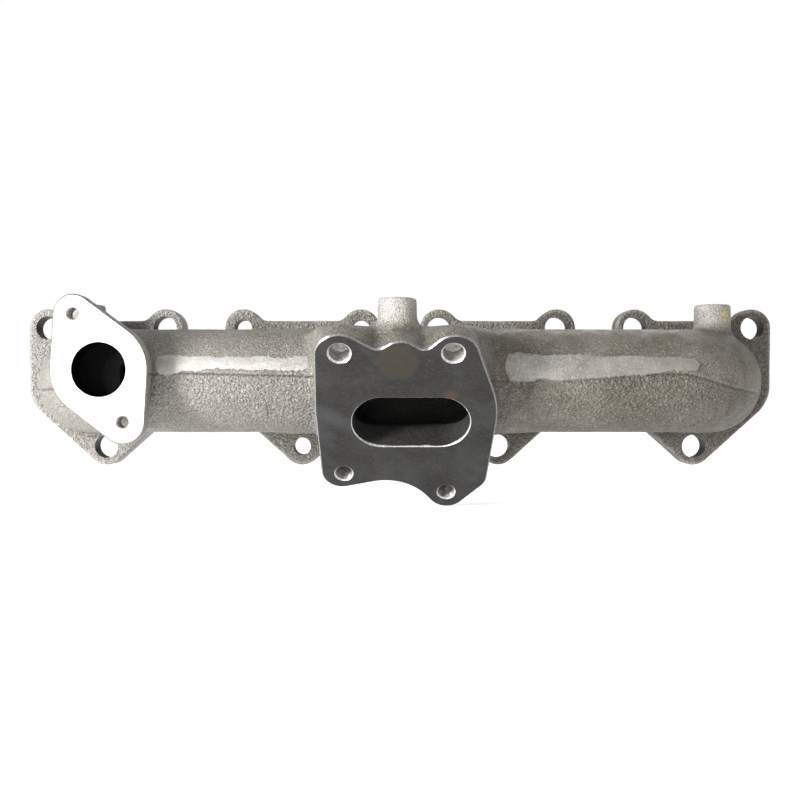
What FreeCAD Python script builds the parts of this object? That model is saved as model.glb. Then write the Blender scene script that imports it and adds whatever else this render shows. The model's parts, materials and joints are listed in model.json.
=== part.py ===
import FreeCAD, Part
import math
import os

from FreeCAD import Vector

# Log-type exhaust manifold for a four-cylinder turbo diesel, in millimetres.
# +X runs along the manifold, +Y points into the cylinder head, +Z is up.
# The origin is on the head face, half-way along, on the line of the upper head bolts.

# Cylinder head side
PORT_PITCH = 130.0
PORT_COUNT = 4
PORT_BORE_R = 21.0
FLANGE_THICK = 14.0
LUG_HALF_SPAN = 39.0            # upper bolts stand this far each side of the port centre
LUG_DROP = 78.6                 # lower bolt below the upper bolts
LUG_R = 12.5
LUG_HOLE_R = 7.7                # clearance hole that lets the casting grow when hot
LOCATING_HOLE_R = 5.75          # close holes that fix the casting to the head
LOCATING_PORT = 2
SHOULDER_R = 24.0               # round corners of the flange beside the port
SHOULDER_HALF_SPAN = 27.0
SHOULDER_DROP = 38.6
CREST_Z = 4.7                   # top edge of the flange between its upper lugs
CREST_FILLET_R = 8.0
CREST_FILLET_X = 22.7

# Gallery that collects the four ports
LOG_Y = -55.0
LOG_Z = -36.3
LOG_R = 32.4
LOG_BORE_R = 26.5
JOINT_X = 98.0                  # where the centre section of the gallery ends
ELBOW_X = 201.0                 # centre line of the end leg that turns back to the head
BEND_R = 33.0
RUNNER_R = 29.0

# Turbine flange, tilted so that its face looks forward and down
TURBO_TILT = 36.0
TURBO_Y = -92.3                 # centre of the flange pattern on its face
TURBO_Z = LOG_Z - 24.9
TURBO_THICK = 13.0
TURBO_NECK_DEPTH = 46.0
TURBO_NECK_FLARE = 1.13
TURBO_NECK_HALF_W = 74.0        # wider than the neck anywhere
TURBO_NECK_TOP = 62.0           # heights on the flange where the neck leaves its back
TURBO_NECK_FOOT = -52.0
TURBO_NECK_CROWN_Z = LOG_Z + LOG_R - 1.0
TURBO_NECK_HEEL = (LOG_Y + 0.6 * LOG_R, LOG_Z - 0.8 * LOG_R)
TURBO_TOP_HOLES = [(-34.1, 48.8), (30.0, 48.8)]
TURBO_LOW_HOLES = [(-34.3, -39.0), (28.5, -53.9)]
TURBO_TOP_HOLE_R = 6.0
TURBO_LOW_HOLE_R = 5.25
OUTLET_X = 6.5
OUTLET_HALF_W = 34.8
OUTLET_HALF_H = 17.8
# Round corners of the outline, counter-clockwise: x, height, radius.
# A negative radius is a hollow corner.
TURBO_OUTLINE = [
    (29.0, -53.7, 12.0),        # lower right lug
    (41.8, -41.5, 11.0),
    (-3.3, 4.0, 60.0),          # bowed right side
    (31.0, 46.5, 13.7),         # upper right lug
    (13.4, 56.8, -5.9),
    (0.3, 44.5, 11.7),          # crown below the centre boss
    (-13.0, 57.0, -6.0),
    (-34.2, 46.7, 14.0),        # upper left lug
    (11.0, 8.0, 60.4),          # bowed left side
    (-35.5, -37.8, 12.0),       # lower left lug
    (-9.0, -77.0, -32.2),       # arch between the lower lugs
]

# Exhaust gas recirculation take-off
EGR_FACE_Y = -101.0
EGR_THICK = 11.0
EGR_BORE_R = 16.0
EGR_NECK_R = 23.0
EGR_X = -175.0
EGR_Z = LOG_Z + 6.1
EGR_BODY_R = 28.7
EGR_HOLES = [(-15.0, 32.5), (14.0, -30.6)]
EGR_LOBE_R = [11.6, 13.0]
EGR_HOLE_R = 3.4
# The bore is a pocket that opens sideways into the gallery through a slanting slot
EGR_POCKET_DEPTH = 15.0
EGR_SLOT_X = -166.0
EGR_SLOT_Y = -91.5
EGR_SLOT_SLANT = 45.0
EGR_SLOT_LENGTH = 25.0
EGR_SLOT_WIDTH = 8.0
EGR_SLOT_HEIGHT = 18.0

# Upright bosses
BOSS_Y = -35.0
BOSS_TOP_Z = LOG_Z + 49.4
CENTRE_BOSS_X = -1.5
CENTRE_BOSS_Y = -99.0
CENTRE_BOSS_TOP_Z = LOG_Z + 47.5
BOSS_TOP_R = 11.2
BOSS_FOOT_R = 12.6
BOSS_HOLE_R = 3.4
BOSS_HOLE_DEPTH = 14.0
BOSS_EDGE_R = 1.5

# Ground strip left where the mould halves meet
BAND_ANGLE = 19.0               # above the horizontal, round the gallery
BAND_PROUD = 0.6
BAND_SPANS = {"left": (-153.0, -58.0, 10.0), "right": (64.0, 166.0, 12.0)}

EDGE_CHAMFER = 1.0

ALONG = Vector(1, 0, 0)
INTO_HEAD = Vector(0, 1, 0)
UP = Vector(0, 0, 1)
LOG_CENTRE = Vector(0, LOG_Y, LOG_Z)
HEAD_PLANE = (Vector(0, 0, 0), ALONG, UP)
EGR_PLANE = (Vector(EGR_X, EGR_FACE_Y, EGR_Z), ALONG, UP)

_tilt = math.radians(TURBO_TILT)
TURBO_UP = Vector(0, -math.sin(_tilt), math.cos(_tilt))
TURBO_OUT = Vector(0, -math.cos(_tilt), -math.sin(_tilt))
TURBO_PLANE = (Vector(0, TURBO_Y, TURBO_Z), ALONG, TURBO_UP)


def on_plane(plane, x, y):
    """Point of a plane given as (origin, x direction, y direction)."""
    return plane[0] + plane[1] * x + plane[2] * y


def tangent_angle(first, second):
    """Direction of the outward normal of the line that touches two signed circles."""
    dx = second[0] - first[0]
    dy = second[1] - first[1]
    lean = math.acos((first[2] - second[2]) / math.hypot(dx, dy))
    return math.atan2(dy, dx) - lean


def rim_point(circle, angle):
    """Point of a signed circle where the outward normal has the given direction."""
    return circle[0] + circle[2] * math.cos(angle), circle[1] + circle[2] * math.sin(angle)


def rounded_wire(plane, circles):
    """Closed outline that wraps signed circles, joined by the lines that touch them."""
    count = len(circles)
    angles = [tangent_angle(circles[i], circles[(i + 1) % count]) for i in range(count)]
    edges = []
    for i, circle in enumerate(circles):
        turn = angles[i] - angles[i - 1]
        turn = turn % (2 * math.pi) if circle[2] > 0 else -(-turn % (2 * math.pi))
        stops = [rim_point(circle, angles[i - 1] + turn * part) for part in (0.0, 0.5, 1.0)]
        edges.append(Part.Arc(*[on_plane(plane, *stop) for stop in stops]).toShape())
        start = on_plane(plane, *stops[-1])
        end = on_plane(plane, *rim_point(circles[(i + 1) % count], angles[i]))
        edges.append(Part.makeLine(start, end))
    return Part.Wire(edges)


def rod(radius, start, end):
    """Round bar from one point to another."""
    run = end - start
    return Part.makeCylinder(radius, run.Length, start, run)


def chamfered_hole(radius, mouth, outward, depth, chamfer=EDGE_CHAMFER):
    """Cutter for a drilled hole whose mouth is broken by a small chamfer."""
    over = outward * chamfer
    drill = rod(radius, mouth + over, mouth - outward * depth)
    rim = Part.makeCone(radius + 2 * chamfer, radius, 2 * chamfer, mouth + over, outward * -1)
    return drill.fuse(rim)


def port_x(number):
    """Centre of a port, counted from 1 at the -X end."""
    return (number - (PORT_COUNT + 1) / 2) * PORT_PITCH


def lug_points(number):
    """The three bolt centres of one head flange, on the head face."""
    x = port_x(number)
    top = [Vector(x - LUG_HALF_SPAN, 0, 0), Vector(x + LUG_HALF_SPAN, 0, 0)]
    return top + [Vector(x, 0, -LUG_DROP)]


def bend(radius, side):
    """Quarter turn from the gallery towards the head, on the given end of the gallery."""
    start = Vector(side * (ELBOW_X - BEND_R), LOG_Y, LOG_Z)
    section = Part.Face(Part.Wire(Part.makeCircle(radius, start, ALONG)))
    return section.revolve(start + INTO_HEAD * BEND_R, UP, side * 90)


def elbow_shape(side):
    """Outside of an end elbow: the quarter turn and the leg up to the head flange."""
    leg_start = Vector(side * ELBOW_X, LOG_Y + BEND_R, LOG_Z)
    leg_end = Vector(side * ELBOW_X, -FLANGE_THICK, LOG_Z)
    return bend(LOG_R, side).fuse(rod(LOG_R, leg_start, leg_end))


def end_passage(side):
    """Gas passage through an end elbow, drawn in from the gallery bore to the port bore."""
    wide = Part.makeCircle(LOG_BORE_R, Vector(side * ELBOW_X, LOG_Y + BEND_R, LOG_Z), INTO_HEAD)
    port = Vector(side * port_x(PORT_COUNT), 0, LOG_Z)
    narrow = Part.makeCircle(PORT_BORE_R, port, INTO_HEAD)
    taper = Part.makeLoft([Part.Wire(wide), Part.Wire(narrow)], True, True)
    return bend(LOG_BORE_R, side).fuse(taper)


def egr_passage():
    """Pocket behind the recirculation face and the slot from it into the gallery."""
    mouth = Vector(EGR_X, EGR_FACE_Y, EGR_Z)
    pocket = rod(EGR_BORE_R, mouth, mouth + INTO_HEAD * EGR_POCKET_DEPTH)
    start = Vector(EGR_SLOT_X, EGR_SLOT_Y, LOG_Z)
    corner = start - INTO_HEAD * (EGR_SLOT_WIDTH / 2) - UP * (EGR_SLOT_HEIGHT / 2)
    slot = Part.makeBox(EGR_SLOT_LENGTH, EGR_SLOT_WIDTH, EGR_SLOT_HEIGHT, corner)
    return pocket.fuse(slot.rotate(start, UP, EGR_SLOT_SLANT))


def outlet_passage():
    """Oblong duct from the turbine face up to the middle of the gallery."""
    ends = [(OUTLET_X + side * (OUTLET_HALF_W - OUTLET_HALF_H), 0.0, OUTLET_HALF_H) for side in (1, -1)]
    return Part.Face(rounded_wire(TURBO_PLANE, ends)).extrude(TURBO_OUT * -TURBO_NECK_DEPTH)


def gas_passages():
    """Every hollow inside the casting, as a list of cutters."""
    reach = ELBOW_X - BEND_R
    passages = [rod(LOG_BORE_R, LOG_CENTRE - ALONG * reach, LOG_CENTRE + ALONG * reach)]
    passages += [end_passage(side) for side in (-1, 1)]
    for number in range(2, PORT_COUNT):
        x = port_x(number)
        passages.append(rod(PORT_BORE_R, Vector(x, LOG_Y, LOG_Z), Vector(x, 0, LOG_Z)))
    return passages + [egr_passage(), outlet_passage()]


def head_flange(number):
    """Three-lug flange of one port, with its bolt holes."""
    x = port_x(number)
    low = -LUG_DROP
    outline = [(x, low, LUG_R)]
    outline.append((x + SHOULDER_HALF_SPAN, -SHOULDER_DROP, SHOULDER_R))
    outline.append((x + LUG_HALF_SPAN, 0.0, LUG_R))
    outline.append((x + CREST_FILLET_X, CREST_Z + CREST_FILLET_R, -CREST_FILLET_R))
    outline.append((x - CREST_FILLET_X, CREST_Z + CREST_FILLET_R, -CREST_FILLET_R))
    outline.append((x - LUG_HALF_SPAN, 0.0, LUG_R))
    outline.append((x - SHOULDER_HALF_SPAN, -SHOULDER_DROP, SHOULDER_R))
    body = Part.Face(rounded_wire(HEAD_PLANE, outline)).extrude(INTO_HEAD * -FLANGE_THICK)
    radius = LOCATING_HOLE_R if number == LOCATING_PORT else LUG_HOLE_R
    holes = [rod(radius, point, point - INTO_HEAD * FLANGE_THICK) for point in lug_points(number)]
    return body.cut(holes)


def port_runner(number):
    """Short branch from the gallery to one of the inner head flanges."""
    x = port_x(number)
    return rod(RUNNER_R, Vector(x, LOG_Y, LOG_Z), Vector(x, -FLANGE_THICK, LOG_Z))


def turbo_flange():
    """Plate that carries the turbine housing, with two plain and two tapped holes."""
    body = Part.Face(rounded_wire(TURBO_PLANE, TURBO_OUTLINE)).extrude(TURBO_OUT * -TURBO_THICK)
    cutters = []
    for holes, radius in ((TURBO_TOP_HOLES, TURBO_TOP_HOLE_R), (TURBO_LOW_HOLES, TURBO_LOW_HOLE_R)):
        for x, height in holes:
            mouth = on_plane(TURBO_PLANE, x, height)
            cutters.append(chamfered_hole(radius, mouth, TURBO_OUT, TURBO_THICK))
    return body.cut(cutters)


def turbo_neck():
    """Flared neck between the gallery and the turbine flange."""
    wires = []
    for depth, scale in ((TURBO_THICK, 1.0), (TURBO_NECK_DEPTH, TURBO_NECK_FLARE)):
        origin = TURBO_PLANE[0] - TURBO_OUT * depth
        outline = [(x * scale, y * scale, r * scale) for x, y, r in TURBO_OUTLINE]
        wires.append(rounded_wire((origin, ALONG, TURBO_UP), outline))
    flare = Part.makeLoft(wires, True, True)
    back = (TURBO_PLANE[0] - TURBO_OUT * TURBO_THICK, ALONG, TURBO_UP)
    reach = TURBO_NECK_HALF_W
    profile = [
        on_plane(back, -reach, TURBO_NECK_TOP),
        Vector(-reach, LOG_Y, TURBO_NECK_CROWN_Z),
        Vector(-reach, LOG_Y, LOG_Z),
        Vector(-reach, *TURBO_NECK_HEEL),
        on_plane(back, -reach, TURBO_NECK_FOOT),
    ]
    side = Part.Face(Part.makePolygon(profile + profile[:1])).extrude(ALONG * (2 * reach))
    return flare.common(side)


def egr_flange():
    """Two-bolt flange of the recirculation take-off."""
    low = EGR_HOLES[1] + (EGR_LOBE_R[1],)
    high = EGR_HOLES[0] + (EGR_LOBE_R[0],)
    middle = (0.0, 0.0, EGR_BODY_R)
    outline = rounded_wire(EGR_PLANE, [low, middle, high, middle])
    body = Part.Face(outline).extrude(INTO_HEAD * EGR_THICK)
    mouths = [on_plane(EGR_PLANE, *hole) for hole in EGR_HOLES]
    return body.cut([chamfered_hole(EGR_HOLE_R, mouth, INTO_HEAD * -1, EGR_THICK) for mouth in mouths])


def egr_neck():
    """Short pipe between the gallery and the recirculation flange."""
    start = Vector(EGR_X, LOG_Y, EGR_Z)
    return rod(EGR_NECK_R, start, Vector(EGR_X, EGR_FACE_Y + EGR_THICK, EGR_Z))


def boss(x, y, top_z):
    """Upright tapped boss, slightly tapered, standing out of the casting below it."""
    height = top_z - LOG_Z
    body = Part.makeCone(BOSS_FOOT_R, BOSS_TOP_R, height, Vector(x, y, LOG_Z), UP)
    rim = max(body.Edges, key=lambda edge: edge.CenterOfMass.z)
    body = body.makeFillet(BOSS_EDGE_R, [rim])
    return body.cut(chamfered_hole(BOSS_HOLE_R, Vector(x, y, top_z), UP, BOSS_HOLE_DEPTH))


def parting_band(low_x, high_x, width):
    """Ground strip along the front of the gallery."""
    height = LOG_R + BAND_PROUD
    strip = Part.makeBox(high_x - low_x, height, width, Vector(low_x, LOG_Y - height, LOG_Z - width / 2))
    return strip.rotate(LOG_CENTRE, ALONG, -BAND_ANGLE)


def gallery(low_x, high_x):
    """Straight stretch of the gallery."""
    return rod(LOG_R, LOG_CENTRE + ALONG * low_x, LOG_CENTRE + ALONG * high_x)


def trimmed(blanks, hollows):
    """Hollow each blank and cut away the blanks before it, so that they meet without overlap."""
    nodes = {}
    earlier = []
    for name, blank in blanks.items():
        neighbours = [other for other in earlier if other.BoundBox.intersect(blank.BoundBox)]
        solid = blank
        if neighbours:
            solid = blank.cut(neighbours[0].multiFuse(neighbours[1:]).removeSplitter())
        solid = solid.cut(hollows)
        nodes[name] = max(solid.Solids, key=lambda piece: piece.Volume)
        earlier.append(blank)
    return nodes


def build_nodes():
    """Every sub-part of the casting by name."""
    elbow_start = ELBOW_X - BEND_R
    blanks = {
        "gallery_left": gallery(-elbow_start, -JOINT_X),
        "gallery_centre": gallery(-JOINT_X, JOINT_X),
        "gallery_right": gallery(JOINT_X, elbow_start),
        "end_elbow_left": elbow_shape(-1),
        "end_elbow_right": elbow_shape(1),
    }
    for number in range(2, PORT_COUNT):
        blanks["port_runner_%d" % number] = port_runner(number)
    for number in range(1, PORT_COUNT + 1):
        blanks["head_flange_%d" % number] = head_flange(number)
    blanks["turbo_flange"] = turbo_flange()
    blanks["turbo_neck"] = turbo_neck()
    blanks["egr_flange"] = egr_flange()
    blanks["egr_neck"] = egr_neck()
    blanks["boss_left"] = boss(-ELBOW_X, BOSS_Y, BOSS_TOP_Z)
    blanks["boss_centre"] = boss(CENTRE_BOSS_X, CENTRE_BOSS_Y, CENTRE_BOSS_TOP_Z)
    blanks["boss_right"] = boss(ELBOW_X, BOSS_Y, BOSS_TOP_Z)
    for side, span in BAND_SPANS.items():
        blanks["parting_band_" + side] = parting_band(*span)

    return trimmed(blanks, gas_passages())


def main():
    os.makedirs("parts", exist_ok=True)
    for name, solid in build_nodes().items():
        solid.exportStep("parts/%s.step" % name)
        print("%-20s valid %s volume %.0f" % (name, solid.isValid(), solid.Volume))


main()
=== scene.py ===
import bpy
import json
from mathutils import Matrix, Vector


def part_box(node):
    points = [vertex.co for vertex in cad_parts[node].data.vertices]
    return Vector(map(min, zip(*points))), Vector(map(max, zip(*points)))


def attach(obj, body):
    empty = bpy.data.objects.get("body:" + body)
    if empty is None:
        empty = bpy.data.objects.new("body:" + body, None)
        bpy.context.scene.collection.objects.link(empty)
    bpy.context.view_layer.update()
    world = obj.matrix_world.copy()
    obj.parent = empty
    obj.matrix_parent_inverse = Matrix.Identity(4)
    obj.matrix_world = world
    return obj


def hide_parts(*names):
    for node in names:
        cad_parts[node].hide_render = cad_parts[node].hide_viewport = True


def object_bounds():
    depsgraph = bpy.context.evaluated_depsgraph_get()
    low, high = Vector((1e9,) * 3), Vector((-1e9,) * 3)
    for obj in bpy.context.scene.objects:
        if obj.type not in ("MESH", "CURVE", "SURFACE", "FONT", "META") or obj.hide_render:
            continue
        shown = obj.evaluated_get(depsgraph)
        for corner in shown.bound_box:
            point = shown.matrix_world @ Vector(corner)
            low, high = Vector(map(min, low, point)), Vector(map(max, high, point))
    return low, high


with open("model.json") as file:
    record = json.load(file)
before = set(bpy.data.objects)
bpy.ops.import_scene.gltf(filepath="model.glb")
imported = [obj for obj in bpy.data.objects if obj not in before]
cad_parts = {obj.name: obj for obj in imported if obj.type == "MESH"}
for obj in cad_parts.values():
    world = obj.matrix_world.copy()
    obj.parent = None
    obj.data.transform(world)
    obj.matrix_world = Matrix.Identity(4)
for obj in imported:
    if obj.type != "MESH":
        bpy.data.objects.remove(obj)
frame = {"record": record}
CAD_BOX = [list(corner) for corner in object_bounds()]

import json
import math

import bpy
import numpy as np
import openvdb
from mathutils import Matrix, Vector

# Cast iron exhaust manifold. Every length is in metres unless it ends in _MM.
# The as-cast skin is one smooth distance field, so that the regions run into each other
# with cast fillets. It is meshed, roughened, machined, drilled and split into the nodes.

MM = 0.001
CELL = 1.0 * MM
FAR = 12 * MM

MOUNTS = {mount["name"]: mount for mount in frame["record"]["mounts"]}


def mount_point(name):
    """Place of a mount in the row frame."""
    return Vector(MOUNTS[name]["pos_m"])


def mount_size(name, key):
    """One dimension of a mount, in metres."""
    return MOUNTS[name]["dims"][key] * MM


# Places read from the frame
PORTS = (1, 2, 3, 4)
PORT_X = {n: mount_point("head_bolts_upper_%d" % n).x for n in PORTS}
LUG_HALF_SPAN = mount_size("head_bolts_upper_1", "spacing_x_mm") / 2
LUG_DROP = -mount_point("head_bolt_lower_1").z
LUG_HOLE_R = {n: mount_size("head_bolt_lower_%d" % n, "r_mm") for n in PORTS}
FLANGE_THICK = -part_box("head_flange_3")[0][1]
LOG_LOW, LOG_HIGH = [Vector(corner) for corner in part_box("gallery_centre")]
LOG_R = (LOG_HIGH.z - LOG_LOW.z) / 2
LOG_Y = (LOG_HIGH.y + LOG_LOW.y) / 2
LOG_Z = (LOG_HIGH.z + LOG_LOW.z) / 2
JOINT_X = LOG_HIGH.x
BEND_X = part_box("gallery_right")[1][0]
BEND_R = 33 * MM
BEND_Y = LOG_Y + BEND_R
ELBOW_X = BEND_X + BEND_R
EGR_FACE_Y = mount_point("egr_face").y
EGR_THICK = 11 * MM
EGR_CENTRE = mount_point("egr_face") - Vector((22, 0, 2)) * MM
BOSS_TOP = Vector((ELBOW_X, -35 * MM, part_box("boss_right")[1][2]))
CENTRE_BOSS = Vector((-1.5 * MM, -99 * MM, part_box("boss_centre")[1][2]))
TURBO_OUT = Vector(MOUNTS["turbine_face"]["axis"])
TURBO_UP = Vector((0, TURBO_OUT.z, -TURBO_OUT.y))
TURBO_ORIGIN = mount_point("turbine_face") - TURBO_UP * 30 * MM + Vector((20, 0, 0)) * MM

# Casting sizes
LOG_BORE_R = 26.5 * MM
PORT_BORE_R = 21 * MM
RUNNER_R = 29 * MM
EGR_BORE_R = 16 * MM
EGR_NECK_R = 23 * MM
TURBO_THICK = 13 * MM
NECK_DEPTH = 46 * MM
NECK_FLARE = 0.13
OUTLET_X = 6.5 * MM
OUTLET_HALF_W = 34.8 * MM
OUTLET_HALF_H = 17.8 * MM
BOSS_TOP_R = 11.2 * MM
BOSS_FOOT_R = 12.6 * MM
CAST_EDGE = 1.6 * MM    # radius of outside corners as cast
STOCK = 2.5 * MM    # extra metal on faces before they are machined

# Outlines as signed circles, counter-clockwise, in millimetres: x, height, radius
HEAD_OUTLINE_MM = [
    (0.0, -78.6, 12.4),
    (27.0, -38.6, 24.0),
    (39.0, 0.0, 12.5),
    (22.7, 12.7, -8.0),
    (-22.7, 12.7, -8.0),
    (-39.0, 0.0, 12.5),
    (-27.0, -38.6, 24.0),
]
TURBO_OUTLINE_MM = [
    (29.0, -53.7, 12.0),
    (41.8, -41.5, 11.0),
    (-3.3, 4.0, 60.0),
    (31.0, 46.5, 13.7),
    (13.4, 56.8, -5.9),
    (0.3, 44.5, 11.7),
    (-13.0, 57.0, -6.0),
    (-34.2, 46.7, 14.0),
    (11.0, 8.0, 60.4),
    (-35.5, -37.8, 12.0),
    (-9.0, -77.0, -32.2),
]
EGR_OUTLINE_MM = [(14.0, -30.6, 13.0), (0.0, 0.0, 28.7), (-15.0, 32.5, 11.6), (0.0, 0.0, 28.7)]
TURBO_TOP_HOLES_MM = [(-34.1, 48.8), (30.0, 48.8)]
TURBO_LOW_HOLES_MM = [(-34.3, -39.0), (28.5, -53.9)]
EGR_HOLES_MM = [(-15.0, 32.5), (14.0, -30.6)]


# ---------------- outlines

def tangent_angle(first, second):
    """Direction of the outward normal of the line that touches two signed circles."""
    dx = second[0] - first[0]
    dy = second[1] - first[1]
    return math.atan2(dy, dx) - math.acos((first[2] - second[2]) / math.hypot(dx, dy))


def outline_points(circles, step=math.radians(4)):
    """Points round a closed outline that wraps signed circles, scaled to metres."""
    count = len(circles)
    angles = [tangent_angle(circles[i], circles[(i + 1) % count]) for i in range(count)]
    points = []
    for i, (x, y, radius) in enumerate(circles):
        turn = angles[i] - angles[i - 1]
        turn = turn % (2 * math.pi) if radius > 0 else -(-turn % (2 * math.pi))
        stops = max(2, int(abs(turn) / step) + 1)
        for angle in np.linspace(angles[i - 1], angles[i - 1] + turn, stops):
            points.append((x + radius * math.cos(angle), y + radius * math.sin(angle)))
    return np.array(points) * MM


class OutlineDistance:
    """Signed distance to a closed outline, looked up in a fine table."""

    STEP = 0.6 * MM
    MARGIN = 22 * MM

    def __init__(self, points):
        low = points.min(axis=0) - self.MARGIN
        high = points.max(axis=0) + self.MARGIN
        axes = [np.arange(low[i], high[i], self.STEP) for i in (0, 1)]
        u, v = np.meshgrid(*axes, indexing="ij")
        nearest = np.full(u.shape, np.inf)
        inside = np.zeros(u.shape, bool)
        for (ax, ay), (bx, by) in zip(points, np.roll(points, -1, axis=0)):
            ex, ey = bx - ax, by - ay
            length = ex * ex + ey * ey
            if length < 1e-14:
                continue
            along = np.clip(((u - ax) * ex + (v - ay) * ey) / length, 0, 1)
            gap = (u - ax - along * ex) ** 2 + (v - ay - along * ey) ** 2
            nearest = np.minimum(nearest, gap)
            crosses = (ay > v) != (by > v)
            if crosses.any():
                inside ^= crosses & (u < ax + (v - ay) * ex / (ey if ey else 1e-12))
        self.low = low
        self.table = (np.sqrt(nearest) * np.where(inside, -1, 1)).astype(np.float32)

    def __call__(self, u, v):
        """Distance at points given in the outline's plane."""
        a = np.clip((u - self.low[0]) / self.STEP, 0, self.table.shape[0] - 1.001)
        b = np.clip((v - self.low[1]) / self.STEP, 0, self.table.shape[1] - 1.001)
        a, b = np.broadcast_arrays(a, b)
        i, j = a.astype(np.int32), b.astype(np.int32)
        s, t = (a - i).astype(np.float32), (b - j).astype(np.float32)
        low = self.table[i, j] * (1 - t) + self.table[i, j + 1] * t
        high = self.table[i + 1, j] * (1 - t) + self.table[i + 1, j + 1] * t
        return low * (1 - s) + high * s


# ---------------- distance field

def smooth_min(a, b, blend):
    """Union of two distances with a fillet about as wide as blend."""
    if not blend:
        return np.minimum(a, b)
    share = np.clip(0.5 + 0.5 * (b - a) / blend, 0, 1)
    return b + (a - b) * share - blend * share * (1 - share)


def smooth_max(a, b, blend):
    """Overlap of two distances with a rounded edge."""
    return -smooth_min(-a, -b, blend)


def capped(across, along, radius=0.0):
    """Distance to a shape from its distances across and along, with its rim rounded."""
    a, b = across + radius, along + radius
    outer = np.hypot(np.maximum(a, 0), np.maximum(b, 0))
    return np.minimum(np.maximum(a, b), 0) + outer - radius


class Field:
    """Distance field sampled on a regular grid."""

    def __init__(self, low, high, cell):
        self.low = np.array(low)
        self.cell = cell
        counts = np.ceil((np.array(high) - self.low) / cell).astype(int) + 1
        self.values = np.full(counts, FAR, np.float32)

    def window(self, low, high, pad):
        """Slices of the grid that cover a box, and the coordinates along each axis there."""
        slices, axes = [], []
        for i in range(3):
            first = max(int((low[i] - pad - self.low[i]) / self.cell), 0)
            last = min(int((high[i] + pad - self.low[i]) / self.cell) + 2, self.values.shape[i])
            slices.append(slice(first, last))
            shape = [1, 1, 1]
            shape[i] = last - first
            line = self.low[i] + self.cell * np.arange(first, last)
            axes.append(line.astype(np.float32).reshape(shape))
        return tuple(slices), axes

    def add(self, shape, low, high, blend=0.0):
        """Join a shape on, with a fillet, where its box reaches."""
        where, axes = self.window(low, high, blend + 4 * MM)
        self.values[where] = smooth_min(self.values[where], shape(*axes), blend)

    def carve(self, other):
        """Take another field away, with a slightly rounded edge."""
        self.values = smooth_max(self.values, -other.values, CAST_EDGE)

    def sample(self, values, points):
        """Value of a grid of the same size at the cells nearest to the points."""
        cells = np.rint((points - self.low) / self.cell).astype(int)
        cells = np.clip(cells, 0, np.array(values.shape) - 1)
        return values[cells[:, 0], cells[:, 1], cells[:, 2]]

    def crowding(self, radius_cells):
        """Share of metal round each cell: over a half in a hollow, under it on an edge."""
        solid = (self.values < 0).astype(np.float32)
        width = 2 * radius_cells + 1
        for axis in range(3):
            pads = [(0, 0)] * 3
            pads[axis] = (radius_cells + 1, radius_cells)
            sums = np.cumsum(np.pad(solid, pads, mode="edge"), axis=axis, dtype=np.float32)
            size = sums.shape[axis]
            high = np.take(sums, range(width, size), axis=axis)
            low = np.take(sums, range(size - width), axis=axis)
            solid = (high - low) / width
        return solid

    def mesh(self, name):
        """Closed mesh of the surface where the distance is nothing."""
        grid = openvdb.FloatGrid(FAR)
        grid.copyFromArray(np.ascontiguousarray(self.values))
        points, quads = grid.convertToQuads(isovalue=0.0)
        mesh = bpy.data.meshes.new(name)
        mesh.from_pydata((points * self.cell + self.low).tolist(), [], quads.tolist())
        return mesh


# ---------------- casting shapes

def centre_line_distance(x, y):
    """Distance in plan to the gallery's centre line, with its two bends to the end ports."""
    ax = np.abs(x)
    bend = np.abs(np.hypot(np.maximum(ax - BEND_X, 0), np.minimum(y - BEND_Y, 0)) - BEND_R)
    inner = np.minimum(np.abs(y - LOG_Y), np.abs(ax - ELBOW_X))
    return np.where((ax < BEND_X) & (y > BEND_Y), inner, bend)


PARTING_X = np.array([-ELBOW_X, -0.140, 0.062, 0.076, 0.100, 0.171, 0.183, 0.193, 0.204, 0.240])
PARTING_RISE = np.array([-4, 5.5, 0.5, 4, 5, 4.5, 1.5, -1.5, -4, -9]) * MM
MOULD_SHIFT = 0.8 * MM
FLASH = 0.55 * MM    # ridge squeezed out between the mould halves
STEP_WIDTH = 1.2 * MM
SEAM_FADE = 8 * MM    # the step dies away this far behind the gallery's middle
SEAM_FALL = 1.5    # how fast the parting drops away behind the middle


def parting_height(x, z):
    """Height above the wandering line where the mould halves meet."""
    return z - LOG_Z - np.interp(x, PARTING_X, PARTING_RISE).astype(np.float32)


def gallery_tube(x, y, z):
    """Outside of the gallery; its lower mould half sits slightly behind the upper one."""
    height = parting_height(x, z)
    below = np.clip(0.5 - height / STEP_WIDTH, 0, 1)
    ridge = np.exp(-(height / STEP_WIDTH) ** 2)
    tube = np.hypot(centre_line_distance(x, y), z - LOG_Z) - LOG_R
    tube = tube + (MOULD_SHIFT * below - FLASH * ridge) * np.clip(1 + (LOG_Y - y) / SEAM_FADE, 0, 1)
    return np.maximum(tube, y - STOCK)


def gallery_bore(x, y, z):
    """Hollow of the gallery as far as the end of each bend."""
    tube = np.hypot(centre_line_distance(x, y), z - LOG_Z) - LOG_BORE_R
    return np.maximum(tube, y - BEND_Y - MM)


def end_port_bore(side):
    """Passage that draws in from an end bend to its port."""
    def shape(x, y, z):
        share = np.clip((y - BEND_Y) / -BEND_Y, 0, 1)
        centre = side * ELBOW_X + (side * PORT_X[4] - side * ELBOW_X) * share
        radius = LOG_BORE_R + (PORT_BORE_R - LOG_BORE_R) * share
        return np.maximum(np.hypot(x - centre, z - LOG_Z) - radius, BEND_Y - y)
    return shape


def level_rod(x0, z0, radius, y_low, y_high):
    """Round bar along Y."""
    def shape(x, y, z):
        across = np.hypot(x - x0, z - z0) - radius
        return np.maximum(across, np.abs(y - (y_low + y_high) / 2) - (y_high - y_low) / 2)
    return shape


def bar_corners(x, z, radius, y_low, y_high):
    """Box round a bar along Y."""
    return (x - radius, y_low, z - radius), (x + radius, y_high, z + radius)


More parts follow.
